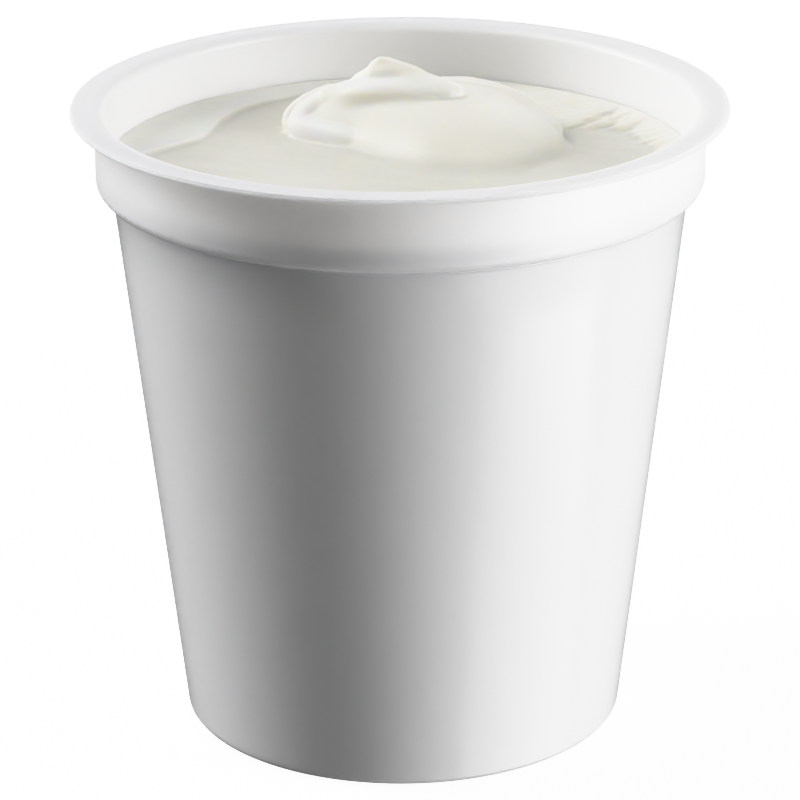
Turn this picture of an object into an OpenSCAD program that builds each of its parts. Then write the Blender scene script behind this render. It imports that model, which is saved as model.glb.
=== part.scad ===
// Single-serve yogurt pot, open and filled, with a spooned dollop on the yogurt.
// Millimetres, +Z up. The origin is the centre of the foot, on the surface it stands on.

/* [Rim] */
// Height of the pot from the foot to the top of the rim
pot_h = 74; // [66:1:90]
// Outer diameter of the rim flange
rim_d = 75; // [73:0.5:80]
// Thickness of the rim flange
rim_t = 0.7; // [0.5:0.1:1]
// Radius that rolls the flange into the mouth
lip_r = 0.9; // [0.5:0.1:1]
// Radius on the trimmed outer edge of the flange
edge_r = 0.2; // [0.1:0.05:0.24]

/* [Collar] */
// Outer diameter of the straight collar under the rim
collar_d = 69.6; // [69:0.2:70.4]
// Height from the top of the rim to the crease under the collar
collar_h = 9.5; // [8:0.5:14]
// Wall thickness of the collar
collar_t = 1.2; // [1.1:0.1:1.4]
// Radius of the collar's lower shoulder
shoulder_r = 1.4; // [1:0.1:1.4]

/* [Body] */
// Outer diameter of the body just under the crease
body_top_d = 66; // [65:0.2:66.2]
// Outer diameter of the body at the foot, before the corner is rounded
body_foot_d = 51.2; // [46:0.2:58]
// Wall thickness of the body and the base
body_t = 0.6; // [0.4:0.1:0.9]
// Outer radius between the body and the foot
corner_r = 1.5; // [1.2:0.1:2.5]

/* [Foot] */
// Width of the ring that the pot stands on
foot_w = 2; // [1.5:0.1:3]
// Height of the base above the foot ring
recess_h = 1.2; // [0.6:0.1:2]

/* [Yogurt] */
// Depth from the top of the rim to the level yogurt
headspace = 8; // [7:0.5:8]
// Height that the yogurt climbs at the wall
beach_h = 1.3; // [0.5:0.1:3]
// Width of the climbing edge at the wall
beach_w = 4; // [2:0.5:4.5]

/* [Dollop] */
// How far the dollop sits to the right of the centre
dollop_x = 2.5; // [-3:0.5:3]
// How far the dollop sits behind the centre
dollop_y = 12.5; // [0:0.5:12.5]
// Diameter of the mound on the level yogurt
mound_d = 32; // [30:0.5:32]
// Height of the mound above the level yogurt
mound_h = 5.8; // [4:0.2:8]
// Diameter of the curl at the level yogurt, inside the mound
curl_d = 21; // [20:0.5:23]
// How far the curl sits to the left of the mound's centre
curl_shift = 4; // [0:0.5:4.5]
// Height of the curl's peak above the level yogurt
peak_h = 9.3; // [8:0.1:9.9]

/* [Hidden] */
$fn = 128;
POT_COLOR = [0.95, 0.95, 0.96];
FILL_COLOR = [0.93, 0.92, 0.86];
DOLLOP_COLOR = [0.97, 0.96, 0.91];
// Clearance between the yogurt and the wall, so that the two solids never cross
fill_gap = 0.05;
// How far cutting shapes run past the faces they cut
over = 1;
// Rim and collar
rim_r = rim_d / 2;
collar_r = collar_d / 2;
mouth_r = collar_r - collar_t;
crease_z = pot_h - collar_h;
ledge_z = crease_z + body_t + 0.2;
// Body wall: a straight cone, measured at height z
foot_r = body_foot_d / 2;
draft = atan((body_top_d / 2 - foot_r) / crease_z);
wall_run = body_t / cos(draft);
function body_r(z) = foot_r + z * tan(draft);
function cavity_r(z) = body_r(z) - wall_run;
// Corner circle that touches the standing plane and the cone
corner_x = foot_r - corner_r * (1 - sin(draft)) / cos(draft);
inner_corner_r = corner_r - body_t;
foot_in_r = corner_x - foot_w;
floor_z = recess_h + body_t;
// Yogurt levels
pool_z = pot_h - headspace;

// Flange: a thin disc with a rounded trim edge
module rim_section() {
    translate([0, pot_h - rim_t])
        square([rim_r - edge_r, rim_t]);
    translate([0, pot_h - rim_t + edge_r])
        square([rim_r, rim_t - 2 * edge_r]);
    for (z = [pot_h - edge_r, pot_h - rim_t + edge_r])
        translate([rim_r - edge_r, z])
            circle(edge_r);
}

// Collar: a straight cylinder with a round shoulder above the crease
module collar_section() {
    translate([0, crease_z + shoulder_r])
        square([collar_r, collar_h - shoulder_r - rim_t / 2]);
    translate([0, crease_z])
        square([collar_r - shoulder_r, 2 * shoulder_r]);
    translate([collar_r - shoulder_r, crease_z + shoulder_r])
        circle(shoulder_r);
}

// Cone that ends in a corner of radius r about the corner centre, its side inset by inset
module cone_section(r, inset, bottom_z, top_z) {
    polygon([
        [0, bottom_z],
        [corner_x, bottom_z],
        [corner_x, corner_r],
        [corner_x + r * cos(draft), corner_r - r * sin(draft)],
        [body_r(top_z) - inset, top_z],
        [0, top_z]
    ]);
    translate([corner_x, corner_r])
        circle(r);
}

// Everything inside the pot, drawn in by gap
module cavity_section(gap) {
    translate([0, ledge_z + gap])
        square([mouth_r - gap, pot_h - ledge_z + over]);
    difference() {
        cone_section(inner_corner_r - gap, wall_run + gap / cos(draft), body_t + gap, ledge_z + 2 * gap);
        square([foot_in_r + body_t + gap, floor_z]);
    }
}

// What the rolled lip takes off the inner edge of the flange
module lip_section() {
    difference() {
        translate([mouth_r - over, pot_h - lip_r])
            square([lip_r + over, lip_r + over]);
        translate([mouth_r + lip_r, pot_h - lip_r])
            circle(lip_r);
    }
}

// One moulded piece: flange, collar, body, base and foot ring
module pot() {
    color(POT_COLOR)
        rotate_extrude()
            difference() {
                union() {
                    rim_section();
                    collar_section();
                    cone_section(corner_r, 0, 0, crease_z + body_t);
                }
                cavity_section(0);
                lip_section();
                translate([0, -over])
                    square([foot_in_r, recess_h + over]);
            }
}

// Yogurt that fills the pot, level in the middle and climbing at the wall
module yogurt_fill() {
    color(FILL_COLOR)
        rotate_extrude()
            intersection() {
                cavity_section(fill_gap);
                polygon([
                    [0, 0],
                    [mouth_r, 0],
                    [mouth_r, pool_z + beach_h],
                    [mouth_r - beach_w, pool_z],
                    [0, pool_z]
                ]);
            }
}

// Round cap of a ball, flat side down
module ball_cap(base_d, cap_h) {
    ball_r = (pow(base_d / 2, 2) + pow(cap_h, 2)) / (2 * cap_h);
    rotate_extrude()
        intersection() {
            translate([0, cap_h - ball_r])
                circle(ball_r);
            square([base_d / 2, cap_h]);
        }
}

// Spoonful laid on the level yogurt
module yogurt_dollop() {
    color(DOLLOP_COLOR)
        translate([dollop_x, dollop_y, pool_z]) {
            ball_cap(mound_d, mound_h);
            translate([-curl_shift, 0, 0])
                ball_cap(curl_d, peak_h);
        }
}

pot();
yogurt_fill();
yogurt_dollop();
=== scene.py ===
"""Looks of an open single-serve yogurt pot: the moulded plastic pot, and the yogurt with its dollop.

Shapes are worked out in millimetres in the row's frame (+Z up, the pot stands on z = 0, -Y is the front)
and become metres when a mesh is made.
"""

import math

import bpy
import numpy as np
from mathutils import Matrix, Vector


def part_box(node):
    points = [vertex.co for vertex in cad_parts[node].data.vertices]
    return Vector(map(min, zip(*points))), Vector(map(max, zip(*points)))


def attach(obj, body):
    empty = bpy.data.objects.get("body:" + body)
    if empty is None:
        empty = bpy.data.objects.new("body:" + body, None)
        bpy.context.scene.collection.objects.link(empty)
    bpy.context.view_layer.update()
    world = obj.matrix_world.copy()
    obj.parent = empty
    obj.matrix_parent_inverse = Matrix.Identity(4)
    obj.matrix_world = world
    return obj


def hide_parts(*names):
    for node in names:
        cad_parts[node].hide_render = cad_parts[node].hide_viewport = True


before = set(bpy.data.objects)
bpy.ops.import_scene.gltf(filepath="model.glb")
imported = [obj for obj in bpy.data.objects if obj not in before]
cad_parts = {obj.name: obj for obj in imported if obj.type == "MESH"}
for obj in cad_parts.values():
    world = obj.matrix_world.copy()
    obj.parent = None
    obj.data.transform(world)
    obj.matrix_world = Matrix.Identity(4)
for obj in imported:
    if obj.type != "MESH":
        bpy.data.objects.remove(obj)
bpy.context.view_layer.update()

MM = 0.001

# ---------------------------------------------------------------- sizes, from the frame

_, pot_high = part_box("pot")
_, fill_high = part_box("yogurt_fill")
dollop_low, dollop_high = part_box("yogurt_dollop")

RIM_R = pot_high.x / MM
RIM_Z = pot_high.z / MM
CONTACT_Z = fill_high.z / MM        # where the yogurt meets the wall
POOL_Z = dollop_low.z / MM          # the level yogurt that the dollop lies on
DOLLOP_X = (dollop_low.x + dollop_high.x) / 2 / MM
DOLLOP_Y = (dollop_low.y + dollop_high.y) / 2 / MM
PEAK_H = (dollop_high.z - dollop_low.z) / MM
YOGURT_R = fill_high.x / MM         # the yogurt's outer radius inside the collar
WETTED_R = YOGURT_R + 0.6           # it wets the wall, so its edge lies hidden within the plastic

# The pot's section, as the CAD part has it
RIM_T = 0.7
EDGE_R = 0.2
COLLAR_R = 34.8
MOUTH_R = 33.6
CREASE_Z = RIM_Z - 9.5
SHOULDER_R = 1.4
BODY_TOP_R = 33.0
FOOT_R = 25.6
WALL_T = 0.6
LEDGE_Z = CREASE_Z + WALL_T + 0.2
CORNER_R = 1.5
FOOT_W = 2.0
RECESS_H = 1.2
DRAFT = math.atan((BODY_TOP_R - FOOT_R) / CREASE_Z)
CORNER_X = FOOT_R - CORNER_R * (1 - math.sin(DRAFT)) / math.cos(DRAFT)

# Finer detail than the CAD part carries
SOFT_R = 0.25                       # small moulded radii
CROWN_R = 35.2                      # the rim is highest here, and rolls down into the mouth from it
LIP_DROP = 1.0                      # this far
BEAD_H = 0.045                      # the fine rings just above the foot
WALL_SHARE = 0.985                  # the plain wall ends here, below the crease's own bead and groove
FLANGE_DIP = 0.09                   # the sealing land falls this far towards the trimmed edge
WHITE = 3.0                         # scene brightness that shows as pure white
TICK_H = 0.028                      # torn ticks along the trimmed edge
BODY_SCATTER = 1.3                  # how far light travels in the plastic
COLLAR_SCATTER = 2.1                # further here, as the collar has no yogurt behind it
COLLAR_COLOUR = (0.875, 0.875, 0.883)
LAND_COLOUR = (0.80, 0.80, 0.825)   # the dull sealing land
POOL_COLOUR = (0.728, 0.720, 0.645)  # the yogurt from wet and level to thicker and white, which also carries painted shade on the level pool and painted light on raised parts and crests
CREAM_COLOUR = (0.862, 0.848, 0.765)
WARM_COLOUR = (0.97, 0.945, 0.84)
# the whitest stop: the colour of the painted highlights on fold crests and ridges
LIT_CURD_COLOUR = (0.99, 0.98, 0.91)
POT_STEPS = 560
YOGURT_CELL = 0.285    # grid of the yogurt's surface
SHARP_ANGLE = 32                    # the pot's edges look crisp where they turn by more degrees than this


# ---------------------------------------------------------------- helpers

def arc(x, z, radius, start, end, steps):
    """Points (r, z) on an arc, angles in degrees from the +r direction."""
    angles = np.radians(np.linspace(start, end, steps + 1))
    return [(x + radius * math.cos(a), z + radius * math.sin(a)) for a in angles]


def new_mesh(name, points, faces, material):
    """A smooth-shaded mesh object from points in millimetres."""
    mesh = bpy.data.meshes.new(name)
    mesh.from_pydata((np.asarray(points) * MM).tolist(), [], faces)
    mesh.materials.append(material)
    mesh.polygons.foreach_set("use_smooth", [True] * len(mesh.polygons))
    mesh.update()
    piece = bpy.data.objects.new(name, mesh)
    bpy.context.scene.collection.objects.link(piece)
    return piece


def ring_faces(rows, steps):
    """Quads between successive rings of a lathe."""
    i, j = np.meshgrid(np.arange(rows - 1), np.arange(steps), indexing="ij")
    k = (j + 1) % steps
    quads = np.stack([i * steps + j, i * steps + k, (i + 1) * steps + k, (i + 1) * steps + j], -1)
    return quads.reshape(-1, 4).tolist()


def smooth_step(x, low, high):
    """0 below low, 1 above high, and a smooth rise between."""
    t = np.clip((x - low) / (high - low), 0, 1)
    return t * t * (3 - 2 * t)


def blend_min(a, b, width):
    """The lower of two distances, with the crease between them filled over a width."""
    h = np.clip(0.5 + 0.5 * (b - a) / width, 0, 1)
    return b * (1 - h) + a * h - width * h * (1 - h)


def waves(seed, count, low, high):
    """A smooth random function of two coordinates: a sum of sines with wavelengths from low to high."""
    rng = np.random.default_rng(seed)
    angle = rng.uniform(0, 2 * np.pi, count)
    length = rng.uniform(low, high, count)
    phase = rng.uniform(0, 2 * np.pi, count)

    def value(u, v):
        total = 0
        for a, s, p in zip(angle, length, phase):
            total = total + np.sin(2 * np.pi * (u * math.cos(a) + v * math.sin(a)) / s + p)
        return total / math.sqrt(count)

    return value


# ---------------------------------------------------------------- the pot

def land_height(r):
    """The sealing land falls a little from its crown, then turns up towards the trimmed edge."""
    fall = float(smooth_step(r, 35.0, 36.7))
    turn_up = float(smooth_step(r, 36.8, 37.3))
    return RIM_Z - FLANGE_DIP * (fall - 0.6 * turn_up)


def pot_section():
    """The pot's closed section, from the base's middle round the outside to the floor's middle."""
    foot_in = CORNER_X - FOOT_W
    inner_x = FOOT_R - WALL_T / math.cos(DRAFT)
    draft = math.degrees(DRAFT)
    edge_x = RIM_R - EDGE_R
    under = [(r, RECESS_H) for r in (0.01, 4, 9, 14, 18)]
    under += arc(foot_in - SOFT_R, RECESS_H - SOFT_R, SOFT_R, 90, 0, 4)
    under += arc(foot_in + SOFT_R, SOFT_R, SOFT_R, 180, 270, 4)
    corner = arc(CORNER_X, CORNER_R, CORNER_R, -90, -draft, 28)
    wall_low, wall_high = np.array(corner[-1]), np.array((BODY_TOP_R, CREASE_Z))
    wall = [tuple(wall_low * (1 - t) + wall_high * t) for t in np.linspace(0, WALL_SHARE, 11)[1:-1]]
    crease = [(BODY_TOP_R - 0.07, CREASE_Z - 0.60), (BODY_TOP_R - 0.01, CREASE_Z - 0.46),
              (BODY_TOP_R + 0.08, CREASE_Z - 0.36), (BODY_TOP_R + 0.09, CREASE_Z - 0.28),
              (BODY_TOP_R + 0.03, CREASE_Z - 0.20), (BODY_TOP_R - 0.18, CREASE_Z - 0.12),
              (BODY_TOP_R - 0.18, CREASE_Z - 0.05), (BODY_TOP_R + 0.1, CREASE_Z - 0.01)]
    shoulder = arc(COLLAR_R - SHOULDER_R, CREASE_Z + SHOULDER_R, SHOULDER_R, -90, 0, 36)
    collar = [(COLLAR_R, z) for z in np.linspace(CREASE_Z + SHOULDER_R, RIM_Z - RIM_T - SOFT_R, 8)[1:-1]]
    collar += arc(COLLAR_R + SOFT_R, RIM_Z - RIM_T - SOFT_R, SOFT_R, 180, 90, 5)
    edge = [(edge_x, RIM_Z - RIM_T), (edge_x + 0.13, RIM_Z - RIM_T + 0.06), (RIM_R, RIM_Z - 0.53)]
    edge += [(RIM_R, RIM_Z - 0.43), (RIM_R - 0.04, RIM_Z - 0.34), (RIM_R - 0.13, RIM_Z - 0.28)]
    edge += [(RIM_R - 0.09, RIM_Z - 0.22), (RIM_R - 0.10, RIM_Z - 0.10), (edge_x, land_height(edge_x))]
    top = [(r, land_height(r)) for r in np.linspace(edge_x, CROWN_R, 17)[1:-1]]
    lip_turn = np.radians(np.linspace(90, 180, 15))
    lip_run = CROWN_R - MOUTH_R
    lip = [(CROWN_R + lip_run * math.cos(a), RIM_Z - LIP_DROP * (1 - math.sin(a))) for a in lip_turn]
    mouth = [(MOUTH_R, z) for z in np.linspace(RIM_Z - LIP_DROP, LEDGE_Z + SOFT_R, 7)[1:]]
    cone = [(inner_x + z * math.tan(DRAFT), z) for z in np.linspace(LEDGE_Z, CORNER_R, 9)]
    floor = arc(CORNER_X, CORNER_R, CORNER_R - WALL_T, -draft, -90, 6)
    floor += [(foot_in + WALL_T, WALL_T), (foot_in + WALL_T, RECESS_H + WALL_T), (0.01, RECESS_H + WALL_T)]
    return under + corner + wall + crease + shoulder + collar + edge + top + lip + mouth + cone + floor


def make_pot(material):
    """Lathes the section, then adds the foot's fine rings and the ticks along the trimmed edge."""
    section = np.array(pot_section())
    angle = np.linspace(0, 2 * np.pi, POT_STEPS, endpoint=False)
    r = np.repeat(section[:, :1], POT_STEPS, 1)
    z = np.repeat(section[:, 1:], POT_STEPS, 1)
    a = np.repeat(angle[None, :], len(section), 0)
    outside = r > FOOT_R - 2
    for bead_z, size in ((0.42, 0.7), (0.82, 1.0)):
        r = r + outside * (z < 2) * BEAD_H * size * np.exp(-((z - bead_z) / 0.11) ** 2)
    torn = smooth_step(np.cos(a + math.radians(97)), 0.60, 0.86)
    ticks = waves(5, 14, 0.9, 2.0)(a * RIM_R, a * 0) * (0.25 + 0.75 * torn)
    drift = 0.25 * waves(6, 8, 12, 40)(a * RIM_R, a * 0)
    rim_edge = smooth_step(r, 36.9, 37.4) * (z > RIM_Z - 0.45)
    z = z + rim_edge * TICK_H * np.clip(ticks + drift, -2, 0.6)
    r = r - rim_edge * TICK_H * np.clip(ticks, 0, 2)
    points = np.stack([r * np.cos(a), r * np.sin(a), z], -1).reshape(-1, 3)
    faces = ring_faces(len(section), POT_STEPS)
    last = len(points) - POT_STEPS
    faces.append(list(range(POT_STEPS))[::-1])
    faces.append([last + j for j in range(POT_STEPS)])
    pot = new_mesh("yogurt_pot", points, faces, material)
    pot.data.set_sharp_from_angle(angle=math.radians(SHARP_ANGLE))
    return pot


# ---------------------------------------------------------------- the yogurt

BARE_R = 31.9                       # the level yogurt reaches this far where little clings to the wall
# Degrees from the back and depths in millimetres, as cling_radius takes them
SMEARS = [(0, 14, 12, -1.3), (-64, 17, 23, 6.1), (51, 16.5, 7, 7.0), (66, 12, 26, 2.1)]
TEARS = [(53.4, 2.4), (57.6, 1.6), (62.8, 1.1)]
TEAR_WIDTH = 0.9


def cling_radius(turn):
    """Inner edge of the yogurt that clings to the wall, by degrees from the back, positive to the right.
    A smear has a middle, a width to each side and a depth; a tear is a narrow gap in one."""
    edge = BARE_R
    for middle, before, after, depth in SMEARS:
        edge = edge - depth * np.exp(-((turn - middle) / np.where(turn < middle, before, after)) ** 2)
    for middle, depth in TEARS:
        edge = edge + depth * np.exp(-((turn - middle) / TEAR_WIDTH) ** 2)
    return edge


def beyond_edge(x, y):
    """Distance outward past the clinging yogurt's edge, negative inside it."""
    radius = np.maximum(np.hypot(x, y), 1)
    turn = np.degrees(np.arctan2(x, y))
    slope = (cling_radius(turn + 0.25) - cling_radius(turn - 0.25)) / (math.radians(0.5) * radius)
    return (radius - cling_radius(turn)) / np.sqrt(1 + slope ** 2)


def yogurt_level(x, y):
    """Height over the level yogurt, without the dollop: slow waves, and what clings to the wall."""
    radius = np.hypot(x, y)
    turn = np.degrees(np.arctan2(x, y))
    pool = 0.08 * waves(11, 7, 14, 30)(x, y) + 0.02 * waves(12, 9, 3, 7)(x, y)
    right = smooth_step(turn, 20, 40) * (1 - smooth_step(turn, 90, 105))
    left = smooth_step(-turn, 20, 35) * (1 - smooth_step(-turn, 95, 120))
    smeared = waves(13, 12, 0.8, 2.6)(0.35 * x, y)
    past = beyond_edge(x + right * 0.35 * smeared, y + right * 0.1 * waves(16, 8, 1.5, 4)(x, y))
    past = past + 0.1 * waves(14, 6, 4, 9)(x, y)
    span = np.maximum(past + YOGURT_R - radius, 0.4)
    lip = 0.12 + 0.10 * right + 0.16 * left
    climb = (CONTACT_Z - POOL_Z - lip) * np.clip(past / span, 0, 1) ** 1.3
    streaks = (0.03 + 0.04 * right) * waves(15, 10, 0.5, 1.6)(0.3 * x, y) * smooth_step(past, 0.1, 0.9)
    streaks = streaks * smooth_step(YOGURT_R - radius, 0.2, 1.6)
    bead_run = np.where(past < 0.5, 0.4, 1.3)
    bead = (0.05 + 0.14 * left + 0.06 * right) * np.exp(-((past - 0.5) / bead_run) ** 2)
    step = smooth_step(past, -0.2 - 0.5 * right, 0.2 + 0.8 * right)
    return pool + step * (lip + climb + streaks + bead)


def smooth_path(controls, steps):
    """Smooth run of (x, y, z, radius) through the given controls (Catmull-Rom)."""
    p = np.array(controls, float)
    p = np.vstack([2 * p[0] - p[1], p, 2 * p[-1] - p[-2]])
    out = []
    for i in range(1, len(p) - 2):
        for t in np.linspace(0, 1, steps, endpoint=False):
            a, b, c, d = p[i - 1], p[i], p[i + 1], p[i + 2]
            out.append(0.5 * (2 * b + (c - a) * t + (2 * a - 5 * b + 4 * c - d) * t * t
                              + (3 * b - a - 3 * c + d) * t ** 3))
    out.append(p[-2])
    return np.array(out)


def rope(grid, controls, flatten=1.0, steps=4):
    """Distance to a tube of changing radius; flatten above 1 makes it wider than it is tall."""
    path = smooth_path(controls, steps)
    scale = np.array([1, 1, flatten])
    points = grid * scale
    best = None
    for start, end in zip(path[:-1], path[1:]):
        a, b = start[:3] * scale, end[:3] * scale
        run = b - a
        t = np.clip(((points - a) @ run) / max(run @ run, 1e-9), 0, 1)
        away = np.linalg.norm(points - a - t[..., None] * run, axis=-1)
        away = away - (start[3] + t * (end[3] - start[3]))
        best = away if best is None else np.minimum(best, away)
    return best / flatten ** 0.5


def egg(grid, centre, radii, turn=0.0):
    """Near-distance to an ellipsoid turned about the vertical by some degrees."""
    p = grid - np.array(centre)
    c, s = math.cos(math.radians(turn)), math.sin(math.radians(turn))
    p = np.stack([p[..., 0] * c + p[..., 1] * s, -p[..., 0] * s + p[..., 1] * c, p[..., 2]], -1)
    radii = np.array(radii)
    k0 = np.linalg.norm(p / radii, axis=-1)
    k1 = np.linalg.norm(p / radii ** 2, axis=-1)
    return k0 * (k0 - 1) / np.maximum(k1, 1e-6)


# The dollop's ropes, each a run of (x, y, height over the level yogurt, radius)
FOLD = [(-6.2, 15.6, 4.3, 1.2), (-8.8, 15.3, 3.4, 1.5), (-11.0, 14.5, 2.0, 1.7), (-11.4, 13.3, 1.1, 1.7),
        (-9.6, 11.7, 0.9, 1.6), (-7.0, 9.9, 0.75, 1.55), (-4.9, 8.7, 0.6, 1.35)]
OUTER_FOLD = [(-8.4, 17.4, 4.6, 0.5), (-11.2, 16.8, 3.5, 0.55), (-13.0, 16.0, 2.2, 0.5),
              (-13.5, 15.2, 1.1, 0.45), (-13.1, 14.5, 0.2, 0.4)]
SHELF = [(4.5, 18.2, 3.9, 0.9), (8.0, 18.2, 3.8, 1.1), (11.0, 17.3, 3.2, 1.2), (13.6, 16.2, 2.4, 1.3),
         (15.6, 14.2, 1.6, 1.4), (16.5, 12.0, 0.8, 1.4)]
RIDGE = [(5.0, 19.6, 5.0, 0.3), (9.0, 19.4, 4.95, 0.3), (13.3, 18.0, 4.0, 0.32), (15.7, 15.9, 3.2, 0.34),
         (17.3, 13.4, 2.3, 0.5), (17.9, 11.5, 1.0, 1.2)]
INNER_RIDGE = [(4.0, 17.4, 5.0, 0.25), (8.6, 17.2, 5.05, 0.3), (12.4, 16.2, 4.25, 0.2)]
RIBBON = [(-7.0, 15.0, 4.3, 1.3), (-4.2, 13.9, 5.3, 1.75), (-0.6, 13.0, 5.75, 1.85), (2.6, 12.4, 5.7, 1.8),
          (5.0, 12.1, 5.6, 1.5), (6.3, 12.2, 5.5, 1.15)]
LOBE = [(-4.7, 15.2, 6.1, 0.8), (-3.4, 14.9, 6.6, 1.2), (-2.0, 14.6, 7.1, 1.35), (-0.4, 14.4, 7.0, 1.35),
        (1.6, 14.0, 6.6, 1.3), (3.6, 13.4, 6.0, 1.15), (5.3, 12.8, 5.6, 0.9)]
PEAK = [(-2.9, 14.8, 8.1, 0.5), (-2.0, 14.8, 8.7, 0.45), (-0.2, 14.5, 8.0, 0.6), (1.6, 14.0, 7.2, 0.8)]
WISP = [(-7.0, 16.2, 4.9, 0.3), (-5.8, 16.0, 5.7, 0.3), (-4.6, 15.6, 6.4, 0.4)]


def dollop_shape(grid):
    """The spoonful: a broad mound, a fold round its left, ridges on its right, a ribbon and a lobe."""
    x = grid[..., 0]
    mound = egg(grid, (5.2, 11.9, -0.6), (14.3, 10.2, 5.7), -20)
    back = egg(grid, (-1.6, 17.0, 0.4), (12.0, 6.2, 5.2))
    right_back = egg(grid, (7.5, 16.6, 0.0), (10.2, 6.1, 4.85))
    left_front = egg(grid, (-6.3, 14.0, 0.2), (5.4, 4.2, 3.4))
    body = blend_min(mound, back, 2.5)
    body = blend_min(body, right_back, 1.5)
    body = blend_min(body, left_front, 1.5)
    body = blend_min(body, rope(grid, SHELF), 1.5)
    body = blend_min(body, rope(grid, FOLD), 0.4)
    body = blend_min(body, rope(grid, OUTER_FOLD), 0.9 - 0.6 * smooth_step(grid[..., 2], 1.0, 2.2))
    body = blend_min(body, rope(grid, RIDGE), 0.3)
    body = blend_min(body, rope(grid, INNER_RIDGE), 0.4)
    body = blend_min(body, rope(grid, RIBBON, 1.45), 2.0 - 1.7 * smooth_step(x, 0, 5))
    top = blend_min(rope(grid, LOBE), rope(grid, PEAK), 0.8)
    top = blend_min(top, rope(grid, WISP), 0.7)
    return blend_min(body, top, 0.45 + 1.1 * smooth_step(x, -1.5, 3))


def curd_and_light(points):
    """How white the yogurt is coloured at a point, from 0 on the wet pool to 1 on the folds: partly its
    thickness, and partly painted light and shade, lighter on raised parts, crests and the clinging band and
    darker on the level pool.
    """
    x, y, z = points.T
    # partly painted light: yogurt above the level pool is coloured lighter, partly for its thickness and
    # partly as the light on the tops
    raised = 0.5 * smooth_step(z, 0.25, 1.6)
    past = beyond_edge(x, y)
    left = x < 0
    # the clinging band is painted lighter than the pool and lighter still on the left, with a painted
    # highlight along the left band's ridge just past its edge
    clinging = (0.5 + 0.35 * left) * smooth_step(past, -0.1, 0.6)
    clinging = clinging + 0.3 * left * np.exp(-((past - 0.9) / 0.8) ** 2)
    # painted light: a lighter, warmer patch on the mound's right front
    lit_front = 0.3 * np.exp(-(((x - 13) / 7) ** 2 + ((y - 8) / 6) ** 2))
    # painted highlights: the fold crests and ridges are coloured whitest, each by its listed amount
    folds = [(FOLD, 1.0), (OUTER_FOLD, 0.8), (RIDGE, 0.9), (INNER_RIDGE, 0.6), (RIBBON, 0.85), (LOBE, 0.7)]
    near = np.hypot(x - DOLLOP_X, y - DOLLOP_Y) < 20
    lit_crests = np.zeros(len(points))
    for path, white in folds:
        on = 1 - smooth_step(rope(points[near], path), 0.0, 0.55)
        lit_crests[near] = np.maximum(lit_crests[near], on * white)
    return np.clip(np.maximum(np.maximum(raised + lit_front, clinging), lit_crests), 0, 1)


def surface_net(values, low, cell):
    """Quads over the surface where a grid of values changes sign, with one point in each crossed cell."""
    cells = np.array(values.shape) - 1
    inside = values < 0
    owners, spots, quads = [], [], []
    for axis in range(3):
        count = values.shape[axis]
        first = np.take(inside, np.arange(count - 1), axis)
        second = np.take(inside, np.arange(1, count), axis)
        node = np.argwhere(first != second)
        beyond = node.copy()
        beyond[:, axis] += 1
        v0 = values[tuple(node.T)]
        v1 = values[tuple(beyond.T)]
        spot = node.astype(float)
        spot[:, axis] += v0 / (v0 - v1)
        u, w = (axis + 1) % 3, (axis + 2) % 3
        around = []
        for du, dw in ((0, 0), (-1, 0), (-1, -1), (0, -1)):
            c = node.copy()
            c[:, u] += du
            c[:, w] += dw
            around.append(c)
        fits = np.all([(c >= 0).all(1) & (c < cells).all(1) for c in around], 0)
        ids = np.stack([np.ravel_multi_index(c[fits].T, cells) for c in around], 1)
        flip = inside[tuple(node[fits].T)]
        ids[~flip] = ids[~flip][:, ::-1]
        quads.append(ids)
        for column in range(4):
            owners.append(ids[:, column])
            spots.append(spot[fits])
    owners, spots, quads = np.concatenate(owners), np.concatenate(spots), np.concatenate(quads)
    used, index = np.unique(owners, return_inverse=True)
    total = np.stack([np.bincount(index, spots[:, k]) for k in range(3)], 1)
    points = total / np.bincount(index)[:, None]
    return low + points * cell, np.searchsorted(used, quads)


def relax(points, quads, rounds, strength=0.5):
    """Draws each point towards its neighbours' mean, then back a little, so that cells don't show."""
    edges = np.concatenate([quads[:, [k, (k + 1) % 4]] for k in range(4)])
    edges = np.unique(np.sort(edges, 1), axis=0)
    both = np.concatenate([edges, edges[:, ::-1]])
    count = np.bincount(both[:, 0], minlength=len(points))[:, None]
    for step in range(rounds):
        for weight in (strength, -strength * 1.03):
            sums = [np.bincount(both[:, 0], points[both[:, 1], k], len(points)) for k in range(3)]
            mean = np.stack(sums, 1)
            points = points + weight * (mean / np.maximum(count, 1) - points)
    return points


def counted_edges(quads):
    """Each edge of a sheet once, in one of its quads' direction, and how many quads share it."""
    edges = np.concatenate([quads[:, [k, (k + 1) % 4]] for k in range(4)])
    _, first, counts = np.unique(np.sort(edges, 1), axis=0, return_index=True, return_counts=True)
    return edges[first], counts


def clear_pinches(quads):
    """Drops the quads round any point where the sheet's outline touches itself."""
    while True:
        edges, counts = counted_edges(quads)
        starts, times = np.unique(edges[counts == 1, 0], return_counts=True)
        ends, more = np.unique(edges[counts == 1, 1], return_counts=True)
        pinched = np.concatenate([starts[times > 1], ends[more > 1], edges[counts == 3].ravel()])
        if not len(pinched):
            return quads
        quads = quads[~np.isin(quads, pinched).any(1)]


def boundary_loop(quads):
    """The outline of an open sheet, as point numbers in order."""
    edges, counts = counted_edges(quads)
    following = dict(edges[counts == 1].tolist())
    start = next(iter(following))
    loop = [start]
    while following[loop[-1]] != start:
        loop.append(following[loop[-1]])
    return loop


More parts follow.
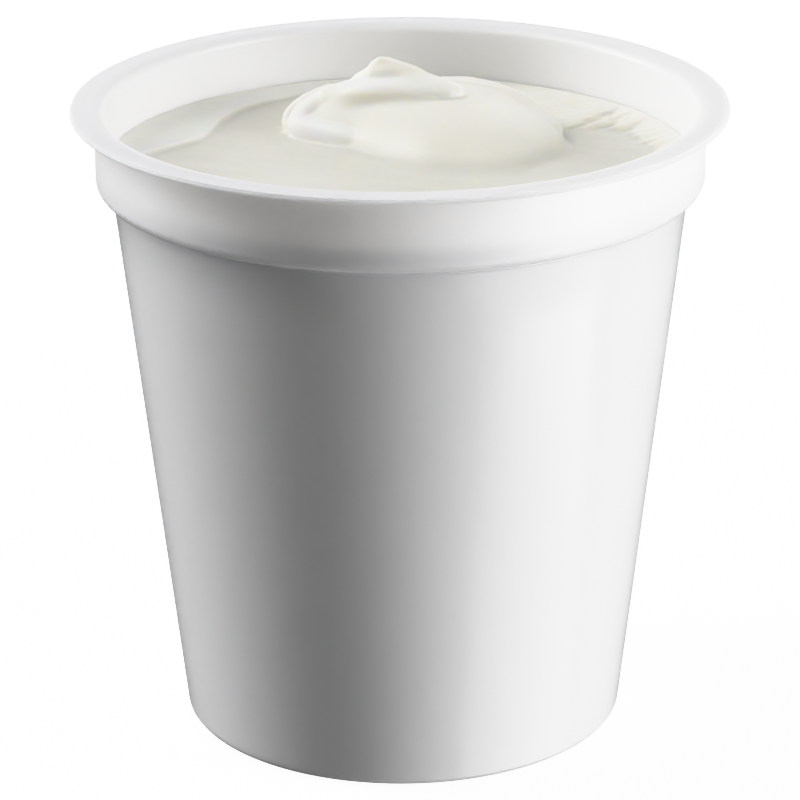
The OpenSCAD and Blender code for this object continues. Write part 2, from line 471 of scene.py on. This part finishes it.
def yogurt_sheet():
    """Top surface of the yogurt and its dollop, ending on the wall. Returns points and quads."""
    cell = YOGURT_CELL
    side = np.arange(-WETTED_R - 3 * cell, WETTED_R + 3.5 * cell, cell)
    height = np.arange(-1.6, PEAK_H + 1.2, cell)
    x, y = np.meshgrid(side, side, indexing="ij")
    level = yogurt_level(x, y)
    slope = np.hypot(*np.gradient(level, cell))
    values = (height[None, None, :] - level[..., None]) / np.sqrt(1 + slope ** 2)[..., None]
    near_x = np.where((side > DOLLOP_X - 20) & (side < DOLLOP_X + 20))[0]
    near_y = np.where((side > DOLLOP_Y - 17) & (side < DOLLOP_Y + 17))[0]
    block = np.ix_(near_x, near_y, np.arange(len(height)))
    grid = np.stack(np.meshgrid(side[near_x], side[near_y], height, indexing="ij"), -1)
    spoonful = dollop_shape(grid)
    front = 1 - smooth_step(grid[..., 1], DOLLOP_Y - 8, DOLLOP_Y)
    across = grid[..., 0] - DOLLOP_X
    middle = smooth_step(across, -7.5, 1) * (1 - 0.6 * smooth_step(across, 10, 15))
    values[block] = blend_min(values[block], spoonful, 0.5 + 5 * front * middle)
    points, quads = surface_net(values, np.array([side[0], side[0], height[0]]), cell)
    keep = (np.hypot(points[:, 0], points[:, 1]) < WETTED_R - 0.03)[quads].all(1)
    quads = clear_pinches(quads[keep])
    used, quads = np.unique(quads, return_inverse=True)
    points, quads = points[used], quads.reshape(-1, 4)
    return relax(points, quads, 3), quads


def make_yogurt(material):
    """One closed body of yogurt: the modelled top, and a plain underside that follows the pot's inside."""
    points, quads = yogurt_sheet()
    whiteness = curd_and_light(points)
    points[:, 2] += POOL_Z
    loop = boundary_loop(quads)
    rim = points[loop]
    rim[:, :2] *= (WETTED_R / np.hypot(rim[:, 0], rim[:, 1]))[:, None]
    points[loop] = rim
    inner_x = FOOT_R - WALL_T / math.cos(DRAFT) - 0.05
    levels = [(YOGURT_R, POOL_Z + 0.3), (YOGURT_R, LEDGE_Z + 0.1)]
    levels += [(inner_x + z * math.tan(DRAFT), z) for z in np.linspace(LEDGE_Z + 0.1, CORNER_R, 12)]
    levels += [(CORNER_X - FOOT_W, RECESS_H + WALL_T + 0.05)]
    everything, faces = [points], quads.tolist()
    before = loop
    for radius, z in levels:
        ring = rim.copy()
        ring[:, :2] *= radius / WETTED_R
        ring[:, 2] = z
        start = sum(len(block) for block in everything)
        everything.append(ring)
        now = list(range(start, start + len(loop)))
        for k in range(len(loop)):
            n = (k + 1) % len(loop)
            faces.append([before[n], before[k], now[k], now[n]])
        before = now
    faces.append(before[::-1])
    yogurt = new_mesh("yogurt", np.concatenate(everything), faces, material)
    # the per-point whiteness: partly thickness, partly painted light on tops and crests and painted shade on
    # the pool
    layer = yogurt.data.attributes.new("curd_and_light", "FLOAT", "POINT")
    layer.data.foreach_set("value", np.pad(whiteness, (0, len(yogurt.data.vertices) - len(whiteness))))
    return yogurt


# ---------------------------------------------------------------- materials

def new_material(name):
    material = bpy.data.materials.new(name)
    material.use_nodes = True
    tree = material.node_tree
    return material, tree, tree.nodes["Principled BSDF"]


def add(tree, kind, **settings):
    """A node with its properties and input values set by name."""
    node = tree.nodes.new(kind)
    for key, value in settings.items():
        if hasattr(node, key):
            setattr(node, key, value)
        else:
            node.inputs[key.replace("_", " ")].default_value = value
    return node


def math_node(tree, operation, a, b=None):
    node = tree.nodes.new("ShaderNodeMath")
    node.operation = operation
    for socket, value in zip(node.inputs, (a, b)):
        if value is None:
            continue
        if isinstance(value, (int, float)):
            socket.default_value = value
        else:
            tree.links.new(value, socket)
    return node.outputs[0]


def coordinates(tree, scale=(1, 1, 1)):
    """Place on the object in millimetres, scaled."""
    place = tree.nodes.new("ShaderNodeTexCoord")
    mapping = tree.nodes.new("ShaderNodeMapping")
    mapping.inputs["Scale"].default_value = [s / MM for s in scale]
    tree.links.new(place.outputs["Object"], mapping.inputs["Vector"])
    return mapping.outputs["Vector"]


def height_and_radius(tree, place):
    """Height over the ground and distance from the pot's axis, in millimetres."""
    axes = tree.nodes.new("ShaderNodeSeparateXYZ")
    tree.links.new(place, axes.inputs[0])
    squares = [math_node(tree, "POWER", axes.outputs[k], 2) for k in (0, 1)]
    return axes.outputs[2], math_node(tree, "SQRT", math_node(tree, "ADD", *squares))


def noise(tree, vector, scale, detail=3.0, roughness=0.55):
    node = add(tree, "ShaderNodeTexNoise", Scale=scale, Detail=detail, Roughness=roughness)
    tree.links.new(vector, node.inputs["Vector"])
    return node.outputs["Fac"]


def ranged(tree, value, from_low, from_high, to_low, to_high):
    """The value carried from one range to another and held at its ends."""
    node = tree.nodes.new("ShaderNodeMapRange")
    keys = ("From Min", "From Max", "To Min", "To Max")
    for key, number in zip(keys, (from_low, from_high, to_low, to_high)):
        node.inputs[key].default_value = number
    tree.links.new(value, node.inputs["Value"])
    return node.outputs["Result"]


def colours(tree, value, stops):
    ramp = tree.nodes.new("ShaderNodeValToRGB")
    while len(ramp.color_ramp.elements) < len(stops):
        ramp.color_ramp.elements.new(0.5)
    for element, (place, colour) in zip(ramp.color_ramp.elements, stops):
        element.position = place
        element.color = (*colour, 1)
    tree.links.new(value, ramp.inputs["Fac"])
    return ramp.outputs["Color"]


def tinted(tree, colour, amount, tint):
    """The colour turned to a tint by an amount from 0 to 1."""
    mix = add(tree, "ShaderNodeMix", data_type="RGBA")
    tree.links.new(amount, mix.inputs["Factor"])
    tree.links.new(colour, mix.inputs[6])
    mix.inputs[7].default_value = (*tint, 1)
    return mix.outputs[2]


def bump(tree, shader, layers):
    """Stacks bump layers of (height value, distance in millimetres, strength)."""
    normal = None
    for value, distance, strength in layers:
        node = tree.nodes.new("ShaderNodeBump")
        node.inputs["Distance"].default_value = distance * MM
        node.inputs["Strength"].default_value = strength
        tree.links.new(value, node.inputs["Height"])
        if normal is not None:
            tree.links.new(normal, node.inputs["Normal"])
        normal = node.outputs["Normal"]
    tree.links.new(normal, shader.inputs["Normal"])


def plastic():
    """Glossy white polypropylene: soft mottling, faint draw marks down the wall, a rough sealing land."""
    material, tree, shader = new_material("white_plastic")
    even = coordinates(tree)
    drawn = coordinates(tree, (1, 1, 0.06))
    mottle = noise(tree, even, 0.06, 4)
    grain = noise(tree, even, 1.6, 3)
    marks = noise(tree, drawn, 1.1, 4)
    height, radius = height_and_radius(tree, even)
    top = ranged(tree, height, RIM_Z - 0.8, RIM_Z - 0.3, 0, 1)
    land = math_node(tree, "MULTIPLY", top, ranged(tree, radius, 33.6, 34.2, 0, 1))
    residue = noise(tree, even, 2.4, 6, 0.7)
    roughened = math_node(tree, "MULTIPLY", land, residue)
    body_colour = colours(tree, mottle, [(0.3, (0.880, 0.874, 0.862)), (0.7, (0.900, 0.894, 0.882))])
    upper = ranged(tree, height, CREASE_Z - 2, CREASE_Z + 1, 0, 1)
    colour = tinted(tree, tinted(tree, body_colour, upper, COLLAR_COLOUR), land, LAND_COLOUR)
    tree.links.new(colour, shader.inputs["Base Color"])
    base_rough = ranged(tree, marks, 0.3, 0.7, 0.14, 0.19)
    collar = ranged(tree, height, CREASE_Z, CREASE_Z + SHOULDER_R, 0, 0.14)
    base_rough = math_node(tree, "ADD", base_rough, collar)
    below_crease = ranged(tree, height, CREASE_Z - 1.6, CREASE_Z - 0.9, 1, 0)
    marks = math_node(tree, "MULTIPLY", marks, below_crease)
    tree.links.new(math_node(tree, "ADD", base_rough, math_node(tree, "MULTIPLY", roughened, 0.5)),
                   shader.inputs["Roughness"])
    bump(tree, shader, [(mottle, 0.25, 0.10), (marks, 0.012, 0.25), (grain, 0.004, 0.25),
                        (roughened, 0.09, 0.5)])
    shader.inputs["IOR"].default_value = 1.49
    shader.inputs["Subsurface Weight"].default_value = 1.0
    shader.inputs["Subsurface Radius"].default_value = (1.0, 0.97, 0.92)
    scatter = ranged(tree, height, CREASE_Z - 0.5, CREASE_Z + 1.5, BODY_SCATTER * MM, COLLAR_SCATTER * MM)
    tree.links.new(scatter, shader.inputs["Subsurface Scale"])
    return material


def creamy():
    """Set yogurt: whiter where it is thicker, wet and warmer where it lies level, with very fine grain; the
    whiteness also holds painted light on raised parts and crests and painted shade on the level pool.
    """
    material, tree, shader = new_material("creamy_yogurt")
    even = coordinates(tree)
    drift = noise(tree, even, 0.09, 3)
    grain = noise(tree, even, 1.4, 4)
    pores = noise(tree, even, 5.0, 2)
    # the whiteness: thickness together with painted light and shade
    thick_and_lit = add(tree, "ShaderNodeAttribute", attribute_name="curd_and_light").outputs["Fac"]
    uneven = math_node(tree, "ADD", thick_and_lit, ranged(tree, drift, 0.3, 0.7, -0.08, 0.08))
    tree.links.new(colours(tree, uneven, [(0.0, POOL_COLOUR), (0.5, CREAM_COLOUR), (0.78, WARM_COLOUR),
                                          (1.0, LIT_CURD_COLOUR)]),
                   shader.inputs["Base Color"])
    tree.links.new(ranged(tree, grain, 0.35, 0.65, 0.30, 0.42), shader.inputs["Roughness"])
    bump(tree, shader, [(drift, 0.3, 0.15), (grain, 0.03, 0.3), (pores, 0.008, 0.3)])
    _, radius = height_and_radius(tree, even)
    tree.links.new(ranged(tree, radius, YOGURT_R - 2.5, YOGURT_R - 0.2, 1.0, 0.1),
                   shader.inputs["Subsurface Weight"])
    shader.inputs["IOR"].default_value = 1.36
    shader.inputs["Subsurface Radius"].default_value = (1.0, 0.85, 0.6)
    shader.inputs["Subsurface Scale"].default_value = 1.0 * MM
    return material


# ---------------------------------------------------------------- camera, lights and floor

def direction(azimuth, elevation):
    """Unit vector; azimuth 0 is the front, 90 the right."""
    a, e = math.radians(azimuth), math.radians(elevation)
    return np.array([math.sin(a) * math.cos(e), -math.cos(a) * math.cos(e), math.sin(e)])


def aimed(thing, position, target):
    """Places a thing and turns its -Z towards the target."""
    thing.location = position
    thing.rotation_euler = (Vector(target) - Vector(position)).to_track_quat("-Z", "Y").to_euler()


CAMERA_TARGET = (-0.0002, 0, 0.0377)    # metres
CAMERA_AWAY = 0.4674
CAMERA_LIFT = 20.32                     # degrees above the level
CAMERA_TILT = -0.35


def add_camera():
    """Long lens that looks down on the rim, with the slight tilt of a hand-set tripod."""
    lens = bpy.data.cameras.new("camera")
    lens.sensor_width = 36
    lens.lens = 180
    camera = bpy.data.objects.new("camera", lens)
    bpy.context.scene.collection.objects.link(camera)
    target = np.array(CAMERA_TARGET)
    aimed(camera, target + CAMERA_AWAY * direction(0, CAMERA_LIFT), target)
    camera.rotation_euler.rotate_axis("Z", math.radians(CAMERA_TILT))
    bpy.context.scene.camera = camera


def softbox(name, azimuth, elevation, across, tall, radiance):
    """A rectangular light one metre off that faces the pot; across and tall are the degrees it fills."""
    light = bpy.data.lights.new(name, "AREA")
    light.shape = "RECTANGLE"
    light.size = 2 * math.tan(math.radians(across / 2))
    light.size_y = 2 * math.tan(math.radians(tall / 2))
    light.energy = radiance * math.pi * light.size * light.size_y
    lamp = bpy.data.objects.new(name, light)
    bpy.context.scene.collection.objects.link(lamp)
    target = np.array([0, 0, RIM_Z / 2 * MM])
    aimed(lamp, target + direction(azimuth, elevation), target)
    lamp.visible_camera = False


# Scene brightness and how bright it is shown
TONE_CURVE = [(0.25, 0.25), (0.5, 0.5), (0.65, 0.64), (0.8, 0.755), (1.0, 0.855), (1.3, 0.92), (2.0, 0.97)]


def soften_highlights():
    """Plain rendering up to mid-tones, then a film-like shoulder that reaches white at WHITE."""
    view = bpy.context.scene.view_settings
    view.view_transform = "Standard"
    view.use_curve_mapping = True
    mapping = view.curve_mapping
    mapping.white_level = (WHITE, WHITE, WHITE)
    curve = mapping.curves[3]
    curve.points[0].location = (0, 0)
    curve.points[1].location = (1, 1)
    for light, shown in TONE_CURVE:
        curve.points.new(light / WHITE, shown)
    mapping.update()


def add_floor():
    """Pale floor that brightens to white away from the pot, so that no horizon shows. Light passes it by."""
    material, tree, shader = new_material("pale_floor")
    shader.inputs["Base Color"].default_value = (0.9, 0.9, 0.9, 1)
    shader.inputs["Roughness"].default_value = 1.0
    shader.inputs["Emission Color"].default_value = (1, 1, 1, 1)
    place = tree.nodes.new("ShaderNodeTexCoord")
    far = tree.nodes.new("ShaderNodeVectorMath")
    far.operation = "LENGTH"
    tree.links.new(place.outputs["Object"], far.inputs[0])
    tree.links.new(ranged(tree, far.outputs["Value"], 0.12, 0.5, 1.7, WHITE),
                   shader.inputs["Emission Strength"])
    corners = [(-4000, -4000, 0), (4000, -4000, 0), (4000, 4000, 0), (-4000, 4000, 0)]
    floor = new_mesh("floor", corners, [[0, 1, 2, 3]], material)
    floor.visible_diffuse = False
    floor.visible_glossy = False
    floor.visible_transmission = False
    floor.visible_shadow = False


def add_world(seen, ambient):
    """White behind the object; a weak even light for everything else."""
    world = bpy.data.worlds.new("studio")
    world.use_nodes = True
    bpy.context.scene.world = world
    tree = world.node_tree
    glow = tree.nodes["Background"]
    glow.inputs["Strength"].default_value = ambient
    backdrop = add(tree, "ShaderNodeBackground", Strength=seen)
    backdrop.inputs["Color"].default_value = (1, 1, 1, 1)
    glow.inputs["Color"].default_value = (1, 1, 1, 1)
    path = tree.nodes.new("ShaderNodeLightPath")
    mix = tree.nodes.new("ShaderNodeMixShader")
    tree.links.new(path.outputs["Is Camera Ray"], mix.inputs[0])
    tree.links.new(glow.outputs[0], mix.inputs[1])
    tree.links.new(backdrop.outputs[0], mix.inputs[2])
    tree.links.new(mix.outputs[0], tree.nodes["World Output"].inputs["Surface"])


# ---------------------------------------------------------------- build

add_camera()
add_world(seen=WHITE, ambient=0.0)
add_floor()
softbox("left_box", -103, 20, 28, 56, 8.3)
softbox("left_high", -100, 58, 34, 20, 5.7)
softbox("right_box", 74, 10, 32, 40, 8.8)
softbox("right_high", 74, 40, 32, 20, 2.6)
softbox("right_low", 66, -20, 40, 20, 5.2)
softbox("right_card", 66, -44, 50, 28, 1.6)
softbox("rear_box", 180, 5, 70, 34, 1.7)
softbox("rear_high", 180, 40, 60, 30, 0.5)
softbox("rear_right", 140, 10, 40, 50, 0.45)
soften_highlights()

pot = make_pot(plastic())
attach(pot, "root")
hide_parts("pot")

yogurt = make_yogurt(creamy())
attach(yogurt, "root")
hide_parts("yogurt_fill", "yogurt_dollop")
